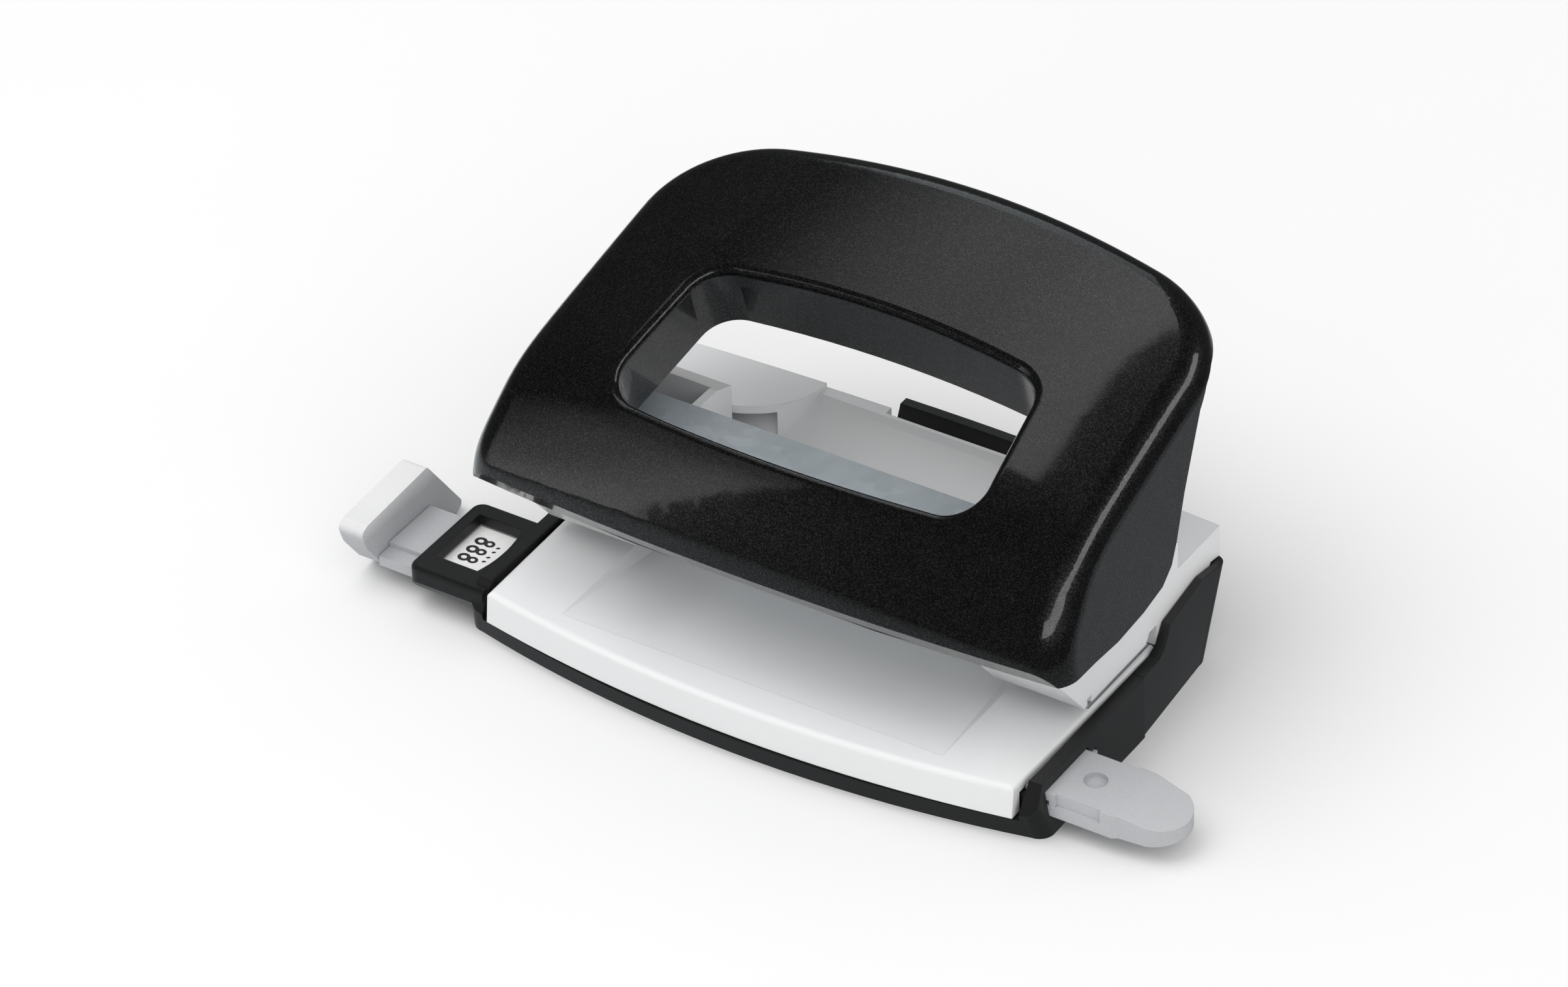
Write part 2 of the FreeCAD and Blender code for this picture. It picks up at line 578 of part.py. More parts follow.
def chip_tray():
    top = 18.5
    outer = Part.makeLoft([tray_wire(0.0, 0.0, 25.0), tray_wire(top, 0.0, 25.0)], True, True)
    inner = Part.makeLoft([tray_wire(FLOOR_T, 1.7, 10.0), tray_wire(top + 1, 1.7, 10.0)],
                          True, True)
    body = outer.cut(inner)
    # side profile of the top edge, with the raised finger tab at the middle
    over = [(20.0, LEDGE_Z), (36.6, LEDGE_Z), (38.6, 9.9), (39.8, 11.4), (40.6, 12.8),
            (50.5, 14.6), (58.6, 13.35), (75.0, 13.35), (75.0, 30.0), (20.0, 30.0)]
    trim = prism_x(over, -60, 60)
    tab = prism_x([(57.0, 12.0), (57.0, 30.0), (66.0, 30.0), (66.0, 12.0)], -11.0, 11.0)
    tab = round_edges(tab, 1.6, lambda m, e: along(e, V(0, 1, 0)) and m.z > 20)
    trim = trim.cut(tab)
    body = body.cut(trim)
    body = body.cut(prism_x([(20, -1), (SEAM_Y0 + 0.15 - 0.24, -1),
                             (SEAM_Y1 + 0.15 + 0.49, 11), (20, 11)], -60, 60))
    # floor reaching forward under the dies, with a rounded heel at the hinge
    floor = box(-46.6, 46.6, HINGE_Y, 40.0, 0.0, FLOOR_T)
    heel = rod(2.5, V(-46.6, HINGE_Y, HINGE_Z), V(46.6, HINGE_Y, HINGE_Z))
    heel = heel.cut(rod(1.4, V(-45.4, HINGE_Y, HINGE_Z), V(45.4, HINGE_Y, HINGE_Z)))
    heel = heel.cut(box(-45.4, 45.4, HINGE_Y, 30.0, 1.5, 6.0))
    walls = both(box(45.4, 46.6, HINGE_Y, 33.0, 0.0, HINGE_Z + 2.5))
    body = body.fuse([floor, heel, walls])
    body = body.cut(box(-60, 60, 10, 60, -2, 0))
    stub = rod(1.5, V(45.5, HINGE_Y, HINGE_Z), V(48.6, HINGE_Y, HINGE_Z))
    body = body.fuse(both(stub))
    grip = box(-9.5, 9.5, 60.2, 70, 15.2, 15.8)
    body = body.cut(grip)
    return max(body.removeSplitter().Solids, key=lambda s: s.Volume)


# ---- paper guide --------------------------------------------------------
def guide_bar():
    bar = box(-STOP_FACE_X + 0.1, BAR_END_X - 6.0, BAR_Y0, BAR_Y1, BAR_Z0, BAR_Z1)
    step = box(-STOP_FACE_X - 1, BAR_END_X, BAR_Y0 - 0.5, BAR_Y0 + 2.85, 5.2, 7.0)
    bar = bar.cut(step)
    # recess for the format scale, detent notches underneath
    bar = bar.cut(box(-60.0, 29.6, 6.3, 16.5, BAR_Z1 - 0.25, 8))
    for x in (-36.0, -30.5, 0.5, 44.0):
        notch = rod(0.9, V(x, BAR_Y0 - 1, BAR_Z0), V(x, BAR_Y0 + 3.2, BAR_Z0))
        bar = bar.cut(notch)
    return bar


def guide_tongue():
    x0 = 46.0
    x1 = 69.6
    pts = [V(x0, BAR_Y0, 0), V(60.4, BAR_Y0, 0), V(61.2, BAR_Y0 + 0.5, 0), V(65.6, 3.9, 0)]
    tip = V(x1, 9.4, 0)
    pts2 = [V(66.9, 14.2, 0), V(62.0, 14.9, 0), V(61.4, TONGUE_Y1, 0), V(x0, TONGUE_Y1, 0)]
    edges = []
    for a, b in zip(pts[:-1], pts[1:]):
        edges.append(line(a, b))
    edges.append(arc(pts[-1], tip, pts2[0]))
    for a, b in zip(pts2[:-1], pts2[1:]):
        edges.append(line(a, b))
    edges.append(line(pts2[-1], pts[0]))
    body = Part.Face(Part.Wire(edges)).extrude(V(0, 0, TONGUE_Z1 - 3.4))
    body.translate(V(0, 0, 3.4))
    body = body.cut(prism_y([(60.6, TONGUE_Z1 + 0.01), (70.5, TONGUE_Z1 - 1.7),
                             (70.5, TONGUE_Z1 + 1.0)], 0, 20))
    body = body.cut(box(x0 - 1, 50.0, 0, 20, 3, BAR_Z1 + 0.05))
    boss = rod(1.8, V(54.2, 9.2, TONGUE_Z1 - 0.8), V(54.2, 9.2, TONGUE_Z1 + 1))
    body = body.cut(boss)
    body = body.cut(box(51.0, 58.4, 2.5, 3.5, 5.3, TONGUE_Z1 + 1))
    body = body.cut(box(45, 58.2, 14.6, 15.5, 6.2, TONGUE_Z1 + 1))
    return body


def prism_y(points, y0, y1):
    """Polygon given as (x, z), extruded along Y."""
    wire = Part.makePolygon([V(x, y0, z) for x, z in points + points[:1]])
    return Part.Face(wire).extrude(V(0, y1 - y0, 0))


def guide_stop():
    """End plate the paper's side rests against."""
    pts = [(-0.8, 11.4), (1.0, 12.1), (16.8, 13.1), (25.4, 1.2), (24.2, 0.5), (7.0, 0.5),
           (4.0, 3.0), (0.4, 8.0)]
    plate = prism_x(pts, -STOP_FACE_X - 4.4, -STOP_FACE_X)
    plate = round_edges(plate, 1.0, lambda m, e: along(e, V(1, 0, 0)))
    return plate


def ruler_label():
    return box(-59.9, 29.5, 6.4, 16.4, BAR_Z1 - 0.25, BAR_Z1 - 0.05)


def detent_leaf():
    y0 = BAR_Y0 + 0.2
    y1 = BAR_Y0 + 2.6
    leaf = box(39.2, 44.0, y0, y1, 2.4, 2.7)
    bump = rod(0.7, V(44.0, y0, BAR_Z0 - 0.8), V(44.0, y1, BAR_Z0 - 0.8))
    foot = box(39.2, 39.9, y0, y1, 1.5, 2.7)
    return leaf.fuse([bump, foot])


def screw(x, y, z_head, z_end, r, r_head, h_head):
    head = rod(r_head, V(x, y, z_head), V(x, y, z_head + h_head))
    body = rod(r, V(x, y, z_head), V(x, y, z_end))
    slot = box(x - 0.4, x + 0.4, y - r_head, y + r_head, z_head - 0.1, z_head + 0.35)
    cross = box(x - r_head, x + r_head, y - 0.4, y + 0.4, z_head - 0.1, z_head + 0.35)
    limit = rod(r_head * 0.62, V(x, y, z_head - 1), V(x, y, z_head + 2))
    return head.fuse(body).cut(slot.fuse(cross).common(limit))


def main():
    os.makedirs("parts", exist_ok=True)
    save(handle_shell(), "handle_shell")
    save(press_plate(), "press_plate")
    pin = pivot_pin()
    save(pin, "pivot_pin_right")
    save(mirror(pin), "pivot_pin_left")
    unit = bracket()
    save(unit, "punch_bracket_right")
    save(mirror(unit), "punch_bracket_left")
    sleeve = guide_sleeve()
    save(sleeve, "guide_sleeve_right")
    save(mirror(sleeve), "guide_sleeve_left")
    punch = punch_pin()
    save(punch, "punch_pin_right")
    save(mirror(punch), "punch_pin_left")
    coil = spring()
    save(coil, "return_spring_right")
    save(mirror(coil), "return_spring_left")
    save(paper_tray(), "paper_tray")
    save(body_frame(), "body_frame")
    save(base_front(), "base_front")
    save(chip_tray(), "chip_tray")
    save(guide_bar(), "guide_bar")
    save(guide_tongue(), "guide_tongue")
    save(guide_stop(), "guide_stop")
    save(ruler_label(), "ruler_label")
    save(detent_leaf(), "detent_leaf")
    base_screws = [screw(x, SCREW_Y, 0.1, 6.5, 1.0, 2.2, 0.6) for x in (-24.0, 24.0)]
    save(Part.makeCompound(base_screws), "base_screws")
    frame_screws = []
    for x in (-PUNCH_X, PUNCH_X):
        frame_screws.append(screw(x, 45.6, 6.2, 12.1, 1.0, 2.5, 1.2))
    for x in (-16.0, 16.0):
        frame_screws.append(screw(x, 45.6, 6.2, 12.1, 1.0, 2.5, 1.4))
    save(Part.makeCompound(frame_screws), "frame_screws")


main()
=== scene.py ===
import math

import bpy
from mathutils import Matrix, Vector


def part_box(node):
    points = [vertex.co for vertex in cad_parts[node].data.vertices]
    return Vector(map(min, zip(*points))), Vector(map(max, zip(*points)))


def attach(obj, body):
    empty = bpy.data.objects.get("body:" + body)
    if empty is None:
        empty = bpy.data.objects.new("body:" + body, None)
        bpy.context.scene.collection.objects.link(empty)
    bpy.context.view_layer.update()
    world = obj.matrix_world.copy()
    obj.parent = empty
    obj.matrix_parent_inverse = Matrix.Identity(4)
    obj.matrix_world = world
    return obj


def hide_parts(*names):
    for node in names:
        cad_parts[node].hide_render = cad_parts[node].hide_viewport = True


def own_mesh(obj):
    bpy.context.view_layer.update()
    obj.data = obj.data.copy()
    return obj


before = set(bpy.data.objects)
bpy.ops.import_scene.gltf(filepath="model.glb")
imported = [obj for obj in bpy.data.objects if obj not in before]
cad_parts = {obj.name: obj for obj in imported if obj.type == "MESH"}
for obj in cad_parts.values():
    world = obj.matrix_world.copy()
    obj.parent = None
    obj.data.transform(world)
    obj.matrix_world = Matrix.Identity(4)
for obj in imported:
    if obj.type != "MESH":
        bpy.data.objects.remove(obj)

# Looks, print, lights and camera for the two-hole desk punch. Metres.

MM = 0.001
SENSOR = 36.0                # camera sensor width, mm
LENS = 160.31                # mm
CAMERA_AZIMUTH = 33.54       # degrees to the right of the front
CAMERA_ELEVATION = 36.29
CAMERA_ROLL = -1.78
CAMERA_TARGET = Vector((-24.29, 48.39, 4.64)) * MM
CAMERA_DISTANCE = 1.0723

FLOOR_HALF = 4.0
REACH = 1.5                  # from the punch to the light panels
LIGHT_CENTRE = Vector((0.0, 0.03, 0.03))

PRINT_T = 0.02 * MM          # thickness of the print on the scale
SCALE_X = -55.65 * MM        # middle of the digits that show at rest
SCALE_MARK_DX = 2.5 * MM     # from the digits to their row of marks
SCALE_MARK_Y = (9.08, 10.25, 11.75, 12.92)
SCALE_ROWS_REST = (8.55, 10.85, 13.15)
SCALE_ROWS = (9.7, 12.0)
FORMATS = (("rest", 0.0), ("mid", 20.0), ("wide", 44.0), ("full", 66.0))

scene = bpy.context.scene
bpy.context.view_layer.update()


# ---- node helpers -------------------------------------------------------
def node(tree, kind, **values):
    """Adds a node; values set its sockets by name."""
    made = tree.nodes.new(kind)
    for key, value in values.items():
        made.inputs[key.replace("_", " ")].default_value = value
    return made


def link(tree, a, b):
    tree.links.new(a, b)


def coords(tree, scale=(1.0, 1.0, 1.0)):
    """Object coordinates in metres, stretched by scale."""
    source = tree.nodes.new("ShaderNodeTexCoord")
    mapping = node(tree, "ShaderNodeMapping", Scale=scale)
    link(tree, source.outputs["Object"], mapping.inputs["Vector"])
    return mapping.outputs["Vector"]


def noise(tree, per_metre, detail=3.0, stretch=(1.0, 1.0, 1.0)):
    made = node(tree, "ShaderNodeTexNoise", Scale=per_metre, Detail=detail)
    link(tree, coords(tree, stretch), made.inputs["Vector"])
    return made.outputs["Fac"]


def remap(tree, value, low, high, to_low, to_high):
    made = tree.nodes.new("ShaderNodeMapRange")
    for key, number in (("From Min", low), ("From Max", high),
                        ("To Min", to_low), ("To Max", to_high)):
        made.inputs[key].default_value = number
    link(tree, value, made.inputs["Value"])
    return made.outputs["Result"]


def blend_colour(tree, factor, first, second):
    """Mixes two colours, or a colour socket and a colour."""
    made = tree.nodes.new("ShaderNodeMix")
    made.data_type = "RGBA"
    link(tree, factor, made.inputs[0])
    for socket, value in ((made.inputs[6], first), (made.inputs[7], second)):
        if isinstance(value, tuple):
            socket.default_value = (*value, 1.0)
        else:
            link(tree, value, socket)
    return made.outputs[2]


def plus(tree, a, b):
    made = tree.nodes.new("ShaderNodeMath")
    made.operation = "ADD"
    link(tree, a, made.inputs[0])
    link(tree, b, made.inputs[1])
    return made.outputs[0]


def surface(name):
    """A new material with its shader and tree."""
    material = bpy.data.materials.new(name)
    material.use_nodes = True
    tree = material.node_tree
    shader = tree.nodes["Principled BSDF"]
    return material, tree, shader


def relief(tree, shader, height, strength, depth, edge=0.00018):
    """Bump over softly rounded edges."""
    soft = tree.nodes.new("ShaderNodeBevel")
    soft.samples = 4
    soft.inputs["Radius"].default_value = edge
    bump = tree.nodes.new("ShaderNodeBump")
    bump.inputs["Strength"].default_value = strength
    bump.inputs["Distance"].default_value = depth
    link(tree, height, bump.inputs["Height"])
    link(tree, soft.outputs["Normal"], bump.inputs["Normal"])
    link(tree, bump.outputs["Normal"], shader.inputs["Normal"])


def set_inputs(shader, **values):
    for key, value in values.items():
        shader.inputs[key.replace("_", " ")].default_value = value


# ---- materials ----------------------------------------------------------
def black_paint():
    """Black metallic paint: silver flake under a clear coat."""
    material, tree, shader = surface("handle_black")
    set_inputs(shader, Coat_Weight=1.0, Coat_Roughness=0.07, Metallic=0.9, IOR=1.5)
    cells = node(tree, "ShaderNodeTexVoronoi", Scale=8200.0)
    link(tree, coords(tree), cells.inputs["Vector"])
    pick = tree.nodes.new("ShaderNodeSeparateColor")
    link(tree, cells.outputs["Color"], pick.inputs["Color"])
    flake = remap(tree, pick.outputs["Red"], 0.55, 1.0, 0.0, 1.0)
    cloud = remap(tree, noise(tree, 60.0, 4.0), 0.3, 0.7, 0.0, 1.0)
    paint = blend_colour(tree, cloud, (0.0090, 0.0094, 0.0092), (0.0120, 0.0124, 0.0122))
    colour = blend_colour(tree, flake, paint, (0.080, 0.080, 0.081))
    link(tree, colour, shader.inputs["Base Color"])
    rough = remap(tree, noise(tree, 240.0, 5.0), 0.3, 0.7, 0.30, 0.38)
    link(tree, rough, shader.inputs["Roughness"])
    relief(tree, shader, pick.outputs["Green"], 0.12, 0.00003, 0.00025)
    return material


def moulded(name, dark, light, rough, grain, strength, depth, coat=0.0):
    """Moulded plastic with a fine grain and slight tonal drift."""
    material, tree, shader = surface(name)
    set_inputs(shader, IOR=1.49, Coat_Weight=coat, Coat_Roughness=0.08)
    drift = remap(tree, noise(tree, 45.0, 4.0), 0.3, 0.7, 0.0, 1.0)
    link(tree, blend_colour(tree, drift, dark, light), shader.inputs["Base Color"])
    scuff = noise(tree, 60.0, 5.0)
    link(tree, remap(tree, scuff, 0.3, 0.75, rough - 0.02, rough + 0.05),
         shader.inputs["Roughness"])
    fine = noise(tree, grain, 2.0)
    relief(tree, shader, fine, strength, depth)
    return material


def leather_plastic():
    """Pale grey plastic with a leather-like moulded texture."""
    material, tree, shader = surface("grey_plastic")
    set_inputs(shader, IOR=1.49)
    cells = node(tree, "ShaderNodeTexVoronoi", Scale=3000.0)
    cells.feature = "DISTANCE_TO_EDGE"
    link(tree, coords(tree), cells.inputs["Vector"])
    pits = remap(tree, cells.outputs["Distance"], 0.0, 0.35, 0.0, 1.0)
    # painted shade: darker along the grain's creases, the valleys of the bump
    crease_shaded_tone = blend_colour(tree, pits, (0.46, 0.465, 0.485), (0.51, 0.515, 0.53))
    place = tree.nodes.new("ShaderNodeSeparateXYZ")
    link(tree, coords(tree), place.inputs[0])
    # colour by height: the grain tone below 9.5 mm, blending to paler grey at 12.5 mm and above
    pale = remap(tree, place.outputs[2], 0.0095, 0.0125, 0.0, 1.0)
    link(tree, blend_colour(tree, pale, crease_shaded_tone, (0.74, 0.74, 0.745)), shader.inputs["Base Color"])
    link(tree, remap(tree, noise(tree, 90.0), 0.3, 0.7, 0.42, 0.55), shader.inputs["Roughness"])
    height = plus(tree, pits, noise(tree, 3000.0, 2.0))
    relief(tree, shader, height, 0.45, 0.00006)
    return material


def metal(name, dark, light, rough, stretch, strength=0.12, spangle=0.0, bare=1.0):
    """Bare or plated metal with a drawn grain."""
    material, tree, shader = surface(name)
    set_inputs(shader, Metallic=bare)
    drift = remap(tree, noise(tree, 70.0, 5.0), 0.3, 0.7, 0.0, 1.0)
    colour = blend_colour(tree, drift, dark, light)
    if spangle:
        cells = node(tree, "ShaderNodeTexVoronoi", Scale=420.0)
        link(tree, coords(tree), cells.inputs["Vector"])
        pick = tree.nodes.new("ShaderNodeSeparateColor")
        link(tree, cells.outputs["Color"], pick.inputs["Color"])
        patch = remap(tree, pick.outputs["Red"], 0.0, 1.0, 0.0, spangle)
        colour = blend_colour(tree, patch, colour, tuple(0.6 * c for c in dark))
    link(tree, colour, shader.inputs["Base Color"])
    grain = noise(tree, 900.0, 3.0, stretch)
    link(tree, remap(tree, grain, 0.3, 0.7, rough - 0.06, rough + 0.10),
         shader.inputs["Roughness"])
    relief(tree, shader, grain, strength, 0.00003, 0.00012)
    return material


def printed_white():
    """White printed paper label."""
    material, tree, shader = surface("label_white")
    fibre = remap(tree, noise(tree, 2600.0, 4.0), 0.3, 0.7, 0.0, 1.0)
    link(tree, blend_colour(tree, fibre, (0.80, 0.80, 0.79), (0.86, 0.86, 0.85)),
         shader.inputs["Base Color"])
    link(tree, remap(tree, noise(tree, 300.0), 0.3, 0.7, 0.35, 0.5), shader.inputs["Roughness"])
    relief(tree, shader, fibre, 0.08, 0.00002)
    return material


def ink():
    """Black print with slightly uneven cover."""
    material, tree, shader = surface("print_black")
    cover = remap(tree, noise(tree, 3200.0, 4.0), 0.35, 0.75, 0.0, 1.0)
    link(tree, blend_colour(tree, cover, (0.012, 0.012, 0.014), (0.045, 0.045, 0.048)),
         shader.inputs["Base Color"])
    link(tree, remap(tree, cover, 0.0, 1.0, 0.38, 0.55), shader.inputs["Roughness"])
    return material


SLOTS = {
    "handle_black": black_paint(),
    "zinc_steel": metal("zinc_steel", (0.50, 0.56, 0.60), (0.62, 0.68, 0.72), 0.46,
                        (1.0, 0.15, 1.0), spangle=0.25, bare=0.5),
    "steel": metal("steel", (0.45, 0.45, 0.46), (0.62, 0.62, 0.63), 0.26, (1.0, 1.0, 0.1)),
    "spring_steel": metal("spring_steel", (0.36, 0.36, 0.38), (0.52, 0.52, 0.54), 0.30,
                          (1.0, 1.0, 4.0)),
    "brass": metal("brass", (0.62, 0.45, 0.18), (0.76, 0.58, 0.27), 0.30, (1.0, 1.0, 0.1)),
    "white_plastic": moulded("white_plastic", (0.765, 0.768, 0.775), (0.785, 0.788, 0.793), 0.30,
                             2600.0, 0.04, 0.00003, 0.25),
    "black_plastic": moulded("black_plastic", (0.0058, 0.0062, 0.0060), (0.0082, 0.0086, 0.0084),
                             0.40, 3200.0, 0.14, 0.00004),
    "grey_plastic": leather_plastic(),
    "label_white": printed_white(),
}
INK = ink()

NODE_SLOTS = {
    "handle_shell": "handle_black", "press_plate": "zinc_steel",
    "punch_bracket_left": "zinc_steel", "punch_bracket_right": "zinc_steel",
    "pivot_pin_left": "steel", "pivot_pin_right": "steel",
    "punch_pin_left": "steel", "punch_pin_right": "steel",
    "base_screws": "steel", "frame_screws": "steel",
    "guide_sleeve_left": "brass", "guide_sleeve_right": "brass",
    "return_spring_left": "spring_steel", "return_spring_right": "spring_steel",
    "detent_leaf": "spring_steel",
    "paper_tray": "white_plastic", "body_frame": "white_plastic",
    "base_front": "black_plastic", "chip_tray": "black_plastic",
    "guide_bar": "grey_plastic", "guide_tongue": "grey_plastic",
    "guide_stop": "grey_plastic", "ruler_label": "label_white",
}
for name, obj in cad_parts.items():
    obj.data.materials.clear()
    obj.data.materials.append(SLOTS[NODE_SLOTS[name]])


# ---- return springs -----------------------------------------------------
def coil(side):
    """Copy of the return spring's mesh, hung on the body in place of the original."""
    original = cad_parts["return_spring_" + side]
    made = bpy.data.objects.new("coil_" + side, original.data.copy())
    scene.collection.objects.link(made)
    made.matrix_world = original.matrix_world.copy()
    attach(made, "body")
    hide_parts("return_spring_" + side)
    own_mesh(made)


for side in ("left", "right"):
    coil(side)


# ---- print on the format scale ------------------------------------------
def plate(name, outlines, low, thick, material):
    """Thin raised print: closed outlines, holes given by inner loops."""
    curve = bpy.data.curves.new(name, "CURVE")
    curve.dimensions = "2D"
    curve.fill_mode = "BOTH"
    curve.extrude = thick / 2.0
    for points in outlines:
        spline = curve.splines.new("POLY")
        spline.points.add(len(points) - 1)
        for place, (x, y) in zip(spline.points, points):
            place.co = (x, y, 0.0, 1.0)
        spline.use_cyclic_u = True
    made = bpy.data.objects.new(name, curve)
    scene.collection.objects.link(made)
    made.location = (0.0, 0.0, low + thick / 2.0)
    curve.materials.append(material)
    return made


def ellipse(x, y, rx, ry, count=40):
    steps = [2.0 * math.pi * i / count for i in range(count)]
    return [(x + rx * math.cos(a), y + ry * math.sin(a)) for a in steps]


PRINT_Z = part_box("ruler_label")[1].z


def outside(points, ring):
    """Points of an outline that lie outside another ellipse."""
    x, y, rx, ry = ring
    return [p for p in points if ((p[0] - x) / rx) ** 2 + ((p[1] - y) / ry) ** 2 > 1.0]


def figure_eight(name, x, y):
    """An 8 that reads along the bar: a larger and a smaller ring, joined."""
    big = (x - 0.80 * MM, y, 1.04 * MM, 0.94 * MM)
    small = (x + 0.80 * MM, y, 0.88 * MM, 0.80 * MM)
    first = ellipse(*big)
    second = ellipse(*small)
    turned = second[len(second) // 2:] + second[:len(second) // 2]
    outline = outside(first, small) + outside(turned, big)
    holes = [ellipse(big[0], y, 0.47 * MM, 0.40 * MM), ellipse(small[0], y, 0.37 * MM, 0.33 * MM)]
    made = plate(name, [outline] + holes, PRINT_Z, PRINT_T, INK)
    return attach(made, "guide")


def dash(name, x, y):
    """A short lozenge-shaped mark."""
    w = 0.30 * MM
    h = 0.24 * MM
    outline = [(x - w, y - h), (x + 0.2 * w, y - h), (x + w, y), (x + w, y + h),
               (x - 0.2 * w, y + h), (x - w, y)]
    made = plate(name, [outline], PRINT_Z, PRINT_T, INK)
    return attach(made, "guide")


for tag, shift in FORMATS:
    middle = SCALE_X + shift * MM
    rows = SCALE_ROWS_REST if tag == "rest" else SCALE_ROWS
    for count, row in enumerate(rows):
        figure_eight("scale_digit_%s_%d" % (tag, count), middle, row * MM)
    for count, row in enumerate(SCALE_MARK_Y):
        dash("scale_mark_%s_%d" % (tag, count), middle + SCALE_MARK_DX, row * MM)


# ---- floor --------------------------------------------------------------
def floor():
    material, tree, shader = surface("studio_floor")
    drift = remap(tree, noise(tree, 6.0), 0.3, 0.7, 0.0, 1.0)
    link(tree, blend_colour(tree, drift, (0.80, 0.80, 0.80), (0.82, 0.82, 0.82)),
         shader.inputs["Base Color"])
    set_inputs(shader, Roughness=0.9, Specular_IOR_Level=0.1)
    mesh = bpy.data.meshes.new("studio_floor")
    h = FLOOR_HALF
    mesh.from_pydata([(-h, -h, 0), (h, -h, 0), (h, h, 0), (-h, h, 0)], [], [(0, 1, 2, 3)])
    made = bpy.data.objects.new("studio_floor", mesh)
    mesh.materials.append(material)
    scene.collection.objects.link(made)
    made.visible_glossy = False


floor()


# ---- lights -------------------------------------------------------------
def direction(azimuth, elevation):
    """Unit vector; azimuth 0 is to the front (-Y), 90 to the right (+X)."""
    a = math.radians(azimuth)
    e = math.radians(elevation)
    return Vector((math.sin(a) * math.cos(e), -math.cos(a) * math.cos(e), math.sin(e)))


def steps(tree, value, ramp):
    """A soft ramp of grey levels given as (place, level)."""
    made = tree.nodes.new("ShaderNodeValToRGB")
    made.color_ramp.interpolation = "EASE"
    while len(made.color_ramp.elements) < len(ramp):
        made.color_ramp.elements.new(0.5)
    for element, (place, level) in zip(made.color_ramp.elements, ramp):
        element.position = place
        element.color = (level, level, level, 1.0)
    link(tree, value, made.inputs["Fac"])
    return made.outputs["Color"]


def glow(name, strength, ramp=None, rise=None, tint=(1.0, 1.0, 1.0)):
    """Emission, with ramps across the panel's width and height."""
    material = bpy.data.materials.new(name)
    material.use_nodes = True
    tree = material.node_tree
    tree.nodes.clear()
    output = tree.nodes.new("ShaderNodeOutputMaterial")
    light = tree.nodes.new("ShaderNodeEmission")
    light.inputs["Strength"].default_value = strength
    link(tree, light.outputs[0], output.inputs["Surface"])
    light.inputs["Color"].default_value = (*tint, 1.0)
    if ramp:
        uv = tree.nodes.new("ShaderNodeUVMap")
        split = tree.nodes.new("ShaderNodeSeparateXYZ")
        link(tree, uv.outputs[0], split.inputs[0])
        product = tree.nodes.new("ShaderNodeMath")
        product.operation = "MULTIPLY"
        link(tree, steps(tree, split.outputs[0], ramp), product.inputs[0])
        link(tree, steps(tree, split.outputs[1], rise), product.inputs[1])
        scaled = tree.nodes.new("ShaderNodeMath")
        scaled.operation = "MULTIPLY"
        scaled.inputs[1].default_value = strength
        link(tree, product.outputs[0], scaled.inputs[0])
        link(tree, scaled.outputs[0], light.inputs["Strength"])
    return material


def panel(name, corners, strength, ramp, rise, tint=(1.0, 1.0, 1.0)):
    """Light panel; ramp runs from corner 0 to 1, rise from corner 1 to 2."""
    mesh = bpy.data.meshes.new(name)
    mesh.from_pydata([tuple(c) for c in corners], [], [(0, 1, 2, 3)])
    layer = mesh.uv_layers.new(name="UVMap")
    for corner, uv in zip(layer.data, ((0, 0), (1, 0), (1, 1), (0, 1))):
        corner.uv = uv
    made = bpy.data.objects.new(name, mesh)
    mesh.materials.append(glow(name, strength, ramp, rise, tint))
    scene.collection.objects.link(made)
    made.visible_camera = False
    made.visible_diffuse = False
    made.visible_shadow = False
    return made


EVEN = ((0.0, 1.0), (1.0, 1.0))


def overhead_bank():
    """Large bank behind and to the left: sharp right edge, fading leftwards."""
    right = -0.26
    left = -1.30
    near = 0.36
    far = 1.30
    corners = ((right, near), (left, near), (left, far), (right, far))
    panel("bank_top", [LIGHT_CENTRE + Vector((x, y, REACH)) for x, y in corners],
          1.15, ((0.0, 1.0), (0.35, 0.6), (1.0, 0.0)), EVEN)


def upright_bank(name, azimuths, elevation, drop, height, *looks):
    """Upright panel between two azimuths, standing drop below the elevation."""
    foot = LIGHT_CENTRE - Vector((0.0, 0.0, drop))
    first, last = [foot + direction(a, elevation) * REACH for a in azimuths]
    rise = Vector((0.0, 0.0, height))
    panel(name, [first, last, last + rise, first + rise], *looks)


overhead_bank()
# tall soft box at the front left
upright_bank("bank_left", (-32.0, -64.0), 0.0, 0.24, 2.2, 1.3,
             ((0.0, 1.0), (0.4, 0.5), (1.0, 0.0)), ((0.0, 1.0), (0.35, 0.8), (0.9, 0.0)))
# low light behind, mirrored by the level plates
upright_bank("bank_back", (-138.0, -168.0), 26.0, 0.0, 0.75, 1.0,
             ((0.0, 0.0), (0.25, 1.0), (1.0, 0.6)), EVEN, (0.88, 0.96, 1.0))
# the table close by, as the gloss sees it: brighter to the left
panel("near_table", [Vector((-0.20, -0.16, -0.001)), Vector((0.20, -0.16, -0.001)),
                     Vector((0.20, 0.26, -0.001)), Vector((-0.20, 0.26, -0.001))],
      0.9, ((0.0, 0.3), (0.2, 1.0), (0.45, 0.5), (1.0, 0.25)),
      ((0.0, 0.0), (0.25, 0.7), (0.7, 1.0), (1.0, 0.3)), (0.92, 0.97, 1.0))


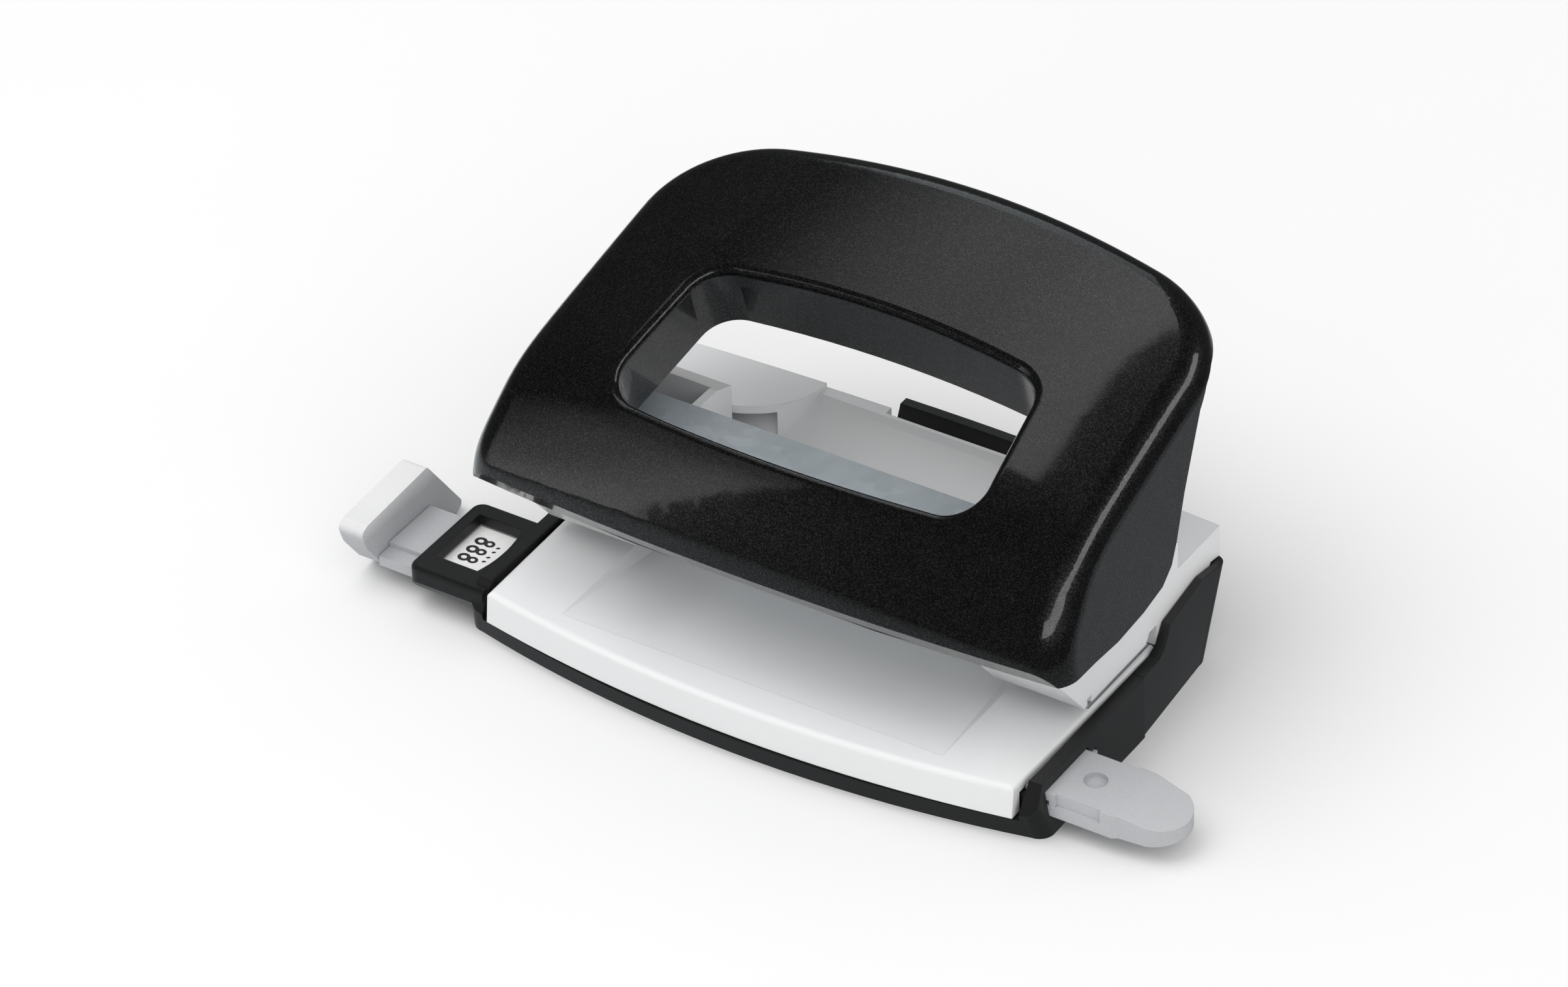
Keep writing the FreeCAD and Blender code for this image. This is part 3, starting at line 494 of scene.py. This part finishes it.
def strip(name, start, end, low, high, strength):
    """Long narrow curved strip of light at a steady height."""
    spans = 24
    verts = []
    faces = []
    for i in range(spans + 1):
        azimuth = start + (end - start) * i / spans
        verts.append(tuple(LIGHT_CENTRE + direction(azimuth, low) * REACH))
        verts.append(tuple(LIGHT_CENTRE + direction(azimuth, high) * REACH))
    for i in range(spans):
        faces.append((2 * i, 2 * i + 2, 2 * i + 3, 2 * i + 1))
    mesh = bpy.data.meshes.new(name)
    mesh.from_pydata(verts, [], faces)
    made = bpy.data.objects.new(name, mesh)
    mesh.materials.append(glow(name, strength))
    scene.collection.objects.link(made)
    made.visible_camera = False
    made.visible_diffuse = False
    made.visible_shadow = False


strip("strip_right", 20.0, 150.0, 28.0, 41.0, 2.4)


def area(name, where, size, power):
    """Round soft light aimed at the punch, seen by matt surfaces only."""
    light = bpy.data.lights.new(name, "AREA")
    light.shape = "DISK"
    light.size = size
    light.energy = power
    made = bpy.data.objects.new(name, light)
    scene.collection.objects.link(made)
    made.location = where
    made.rotation_euler = (LIGHT_CENTRE - Vector(where)).to_track_quat("-Z", "Y").to_euler()
    made.visible_glossy = False
    return made


area("key", (-0.6, -0.4, 1.5), 1.6, 14.0)
area("fill", (1.0, -0.6, 1.1), 1.6, 7.0)


def sky():
    """Even room light for matt surfaces, a dim room for glossy ones."""
    world = bpy.data.worlds.new("studio")
    scene.world = world
    world.use_nodes = True
    tree = world.node_tree
    tree.nodes.clear()
    output = tree.nodes.new("ShaderNodeOutputWorld")
    back = tree.nodes.new("ShaderNodeBackground")
    path = tree.nodes.new("ShaderNodeLightPath")
    place = tree.nodes.new("ShaderNodeTexCoord")
    split = tree.nodes.new("ShaderNodeSeparateXYZ")
    link(tree, place.outputs["Generated"], split.inputs[0])
    height = remap(tree, split.outputs[2], 0.0, 1.0, 0.06, 0.03)
    mixed = tree.nodes.new("ShaderNodeMix")
    link(tree, path.outputs["Is Glossy Ray"], mixed.inputs[0])
    mixed.inputs[2].default_value = 0.90
    link(tree, height, mixed.inputs[3])
    link(tree, mixed.outputs[0], back.inputs["Strength"])
    link(tree, back.outputs[0], output.inputs["Surface"])


sky()


# ---- camera -------------------------------------------------------------
def camera():
    azimuth = math.radians(CAMERA_AZIMUTH)
    elevation = math.radians(CAMERA_ELEVATION)
    roll = math.radians(CAMERA_ROLL)
    back = Vector((math.sin(azimuth) * math.cos(elevation),
                   -math.cos(azimuth) * math.cos(elevation), math.sin(elevation)))
    right = Vector((math.cos(azimuth), math.sin(azimuth), 0.0))
    up = back.cross(right)
    across = right * math.cos(roll) + up * math.sin(roll)
    above = up * math.cos(roll) - right * math.sin(roll)
    data = bpy.data.cameras.new("camera")
    data.lens = LENS
    data.sensor_width = SENSOR
    data.sensor_fit = "HORIZONTAL"
    data.clip_start = 0.01
    data.clip_end = 50.0
    made = bpy.data.objects.new("camera", data)
    scene.collection.objects.link(made)
    turn = Matrix((across, above, back)).transposed().to_4x4()
    place = CAMERA_TARGET + back * CAMERA_DISTANCE
    made.matrix_world = Matrix.Translation(place) @ turn
    scene.camera = made


camera()
scene.view_settings.view_transform = "Standard"
